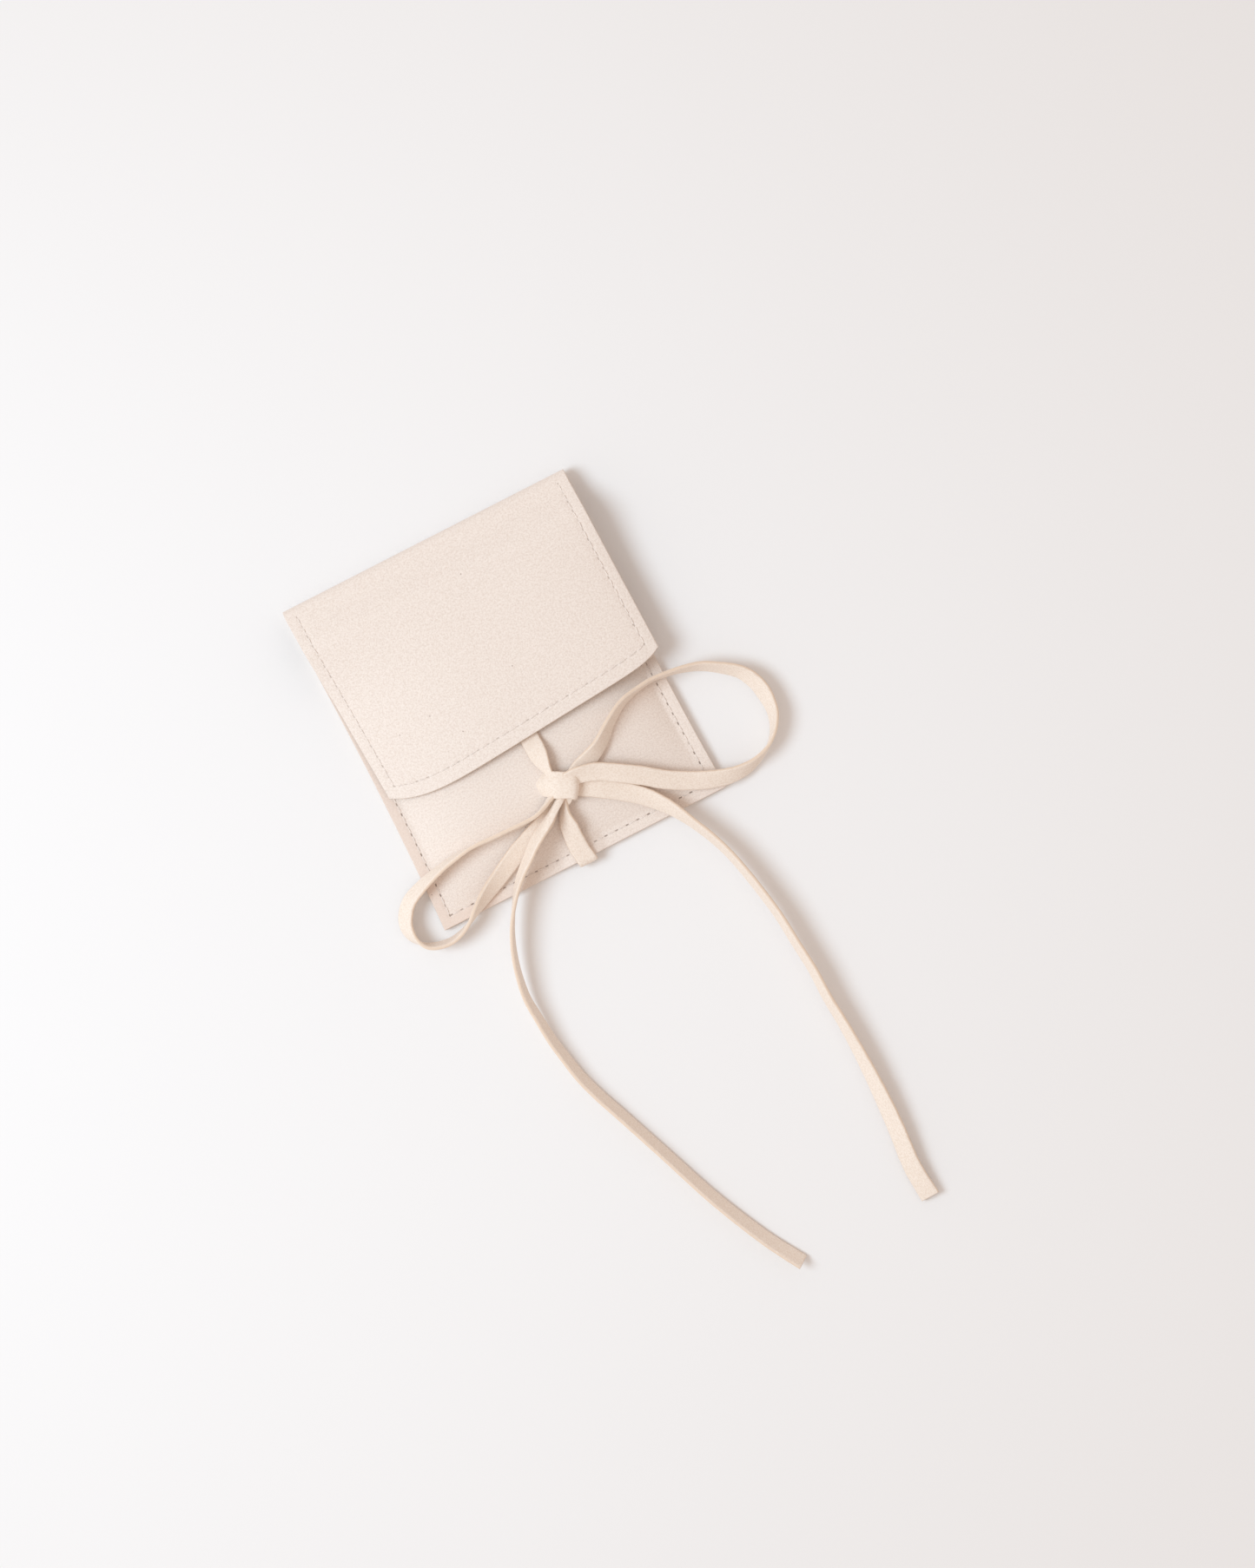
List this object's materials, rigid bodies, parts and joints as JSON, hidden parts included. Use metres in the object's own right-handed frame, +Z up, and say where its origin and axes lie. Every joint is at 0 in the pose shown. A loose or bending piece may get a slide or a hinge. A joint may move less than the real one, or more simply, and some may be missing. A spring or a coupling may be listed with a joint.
{
  "type": "flap pouch",
  "caption": "Soft suede envelope pouch with a fold-over flap and an open pocket, closed by a flat ribbon tied in a bow, lying on its back.",
  "frame": {"origin": "centre of the back panel's outer face, on the surface that the pouch lies on", "axes": "+X to the right across the pouch, +Y from the bottom edge towards the fold, +Z up out of the back panel"},
  "size_m": [0.1113, 0.2075, 0.0121],
  "materials": {
    "suede": "brushed suede",
    "lining": "matte",
    "ribbon": "brushed suede",
    "thread": "twisted"
  },
  "bodies": {
    "pocket": {"back_panel": "suede", "back_lining": "lining", "front_panel": "suede", "pocket_stitches": "thread", "upper_strand": "ribbon", "strand_tack": "thread", "lower_strand": "ribbon", "bow_knot": "ribbon", "left_loop": "ribbon", "right_loop": "ribbon", "left_tail": "ribbon", "right_tail": "ribbon"},
    "flap": {"flap_panel": "suede", "flap_lining": "lining", "flap_stitches": "thread"}
  },
  "joints": [
    {"name": "flap_fold", "type": "hinge", "parent": "pocket", "child": "flap", "pos_m": [0, 0.0452, 0.0028], "axis": [-1, 0, 0], "range_deg": [0, 160]}
  ]
}
